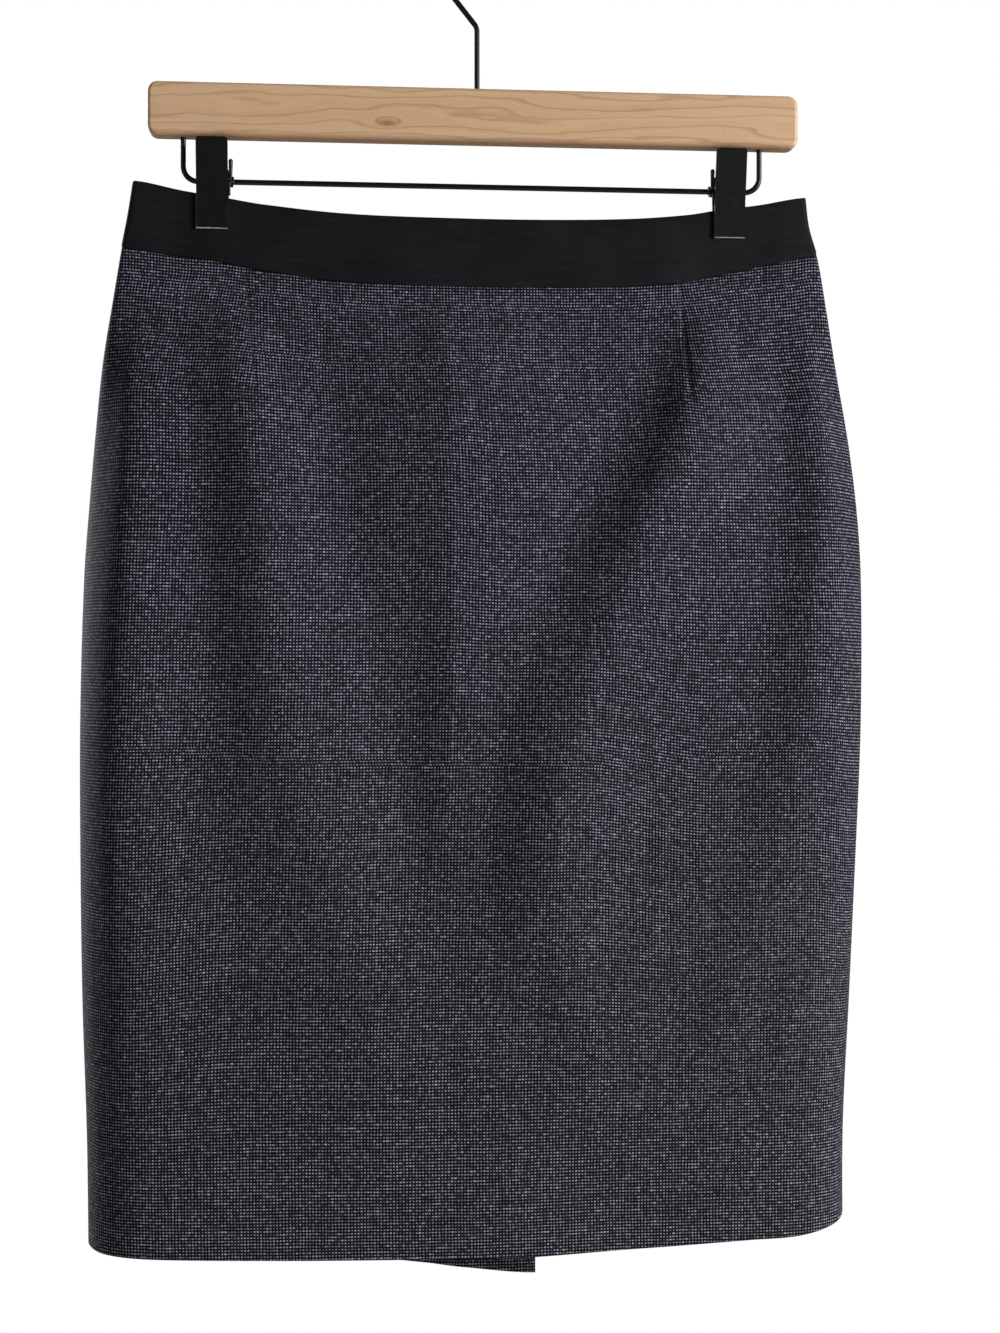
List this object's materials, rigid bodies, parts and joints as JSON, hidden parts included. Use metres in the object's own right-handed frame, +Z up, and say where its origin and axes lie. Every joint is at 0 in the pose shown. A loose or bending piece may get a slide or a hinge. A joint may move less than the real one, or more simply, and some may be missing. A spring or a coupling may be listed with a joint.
{
  "type": "pencil skirt on a clip hanger",
  "caption": "Knee-length tube skirt with a plain waistband, front darts, back zip and back vent, hung by its band from a wooden clip hanger.",
  "frame": {"origin": "inner top of the hanger's hook, where a rod carries it", "axes": "+Z up, -Y is the front of the skirt, +X is the right side seen from the front"},
  "size_m": [0.4287, 0.0948, 0.7422],
  "materials": {
    "skirt_cloth": "two-tone hopsack weave, black with light grey dots",
    "band_twill": "plain black fine twill",
    "zip_tape": "woven black tape",
    "zip_metal": "dark satin metal",
    "maple": "clear satin maple",
    "black_wire": "satin black wire",
    "black_plate": "satin black plate"
  },
  "bodies": {
    "hung_skirt": {"waistband_front": "band_twill", "waistband_back_left": "band_twill", "waistband_back_right": "band_twill", "front_panel": "skirt_cloth", "back_panel_left": "skirt_cloth", "back_panel_right": "skirt_cloth", "zip": "zip_tape", "zip_slider": "zip_metal", "hanger_bar": "maple", "hanger_hook": "black_wire", "hanger_rail": "black_wire", "clip_left_front_jaw": "black_plate", "clip_left_back_jaw": "black_plate", "clip_left_spring": "black_wire", "clip_right_front_jaw": "black_plate", "clip_right_back_jaw": "black_plate", "clip_right_spring": "black_wire"},
    "pull_tab": {"zip_pull": "zip_metal"}
  },
  "joints": [
    {"name": "pull_tab_hinge", "type": "hinge", "parent": "hung_skirt", "child": "pull_tab", "pos_m": [-0.003, 0.00725, -0.17656], "axis": [1, 0, 0], "range_deg": [0, 150]}
  ]
}
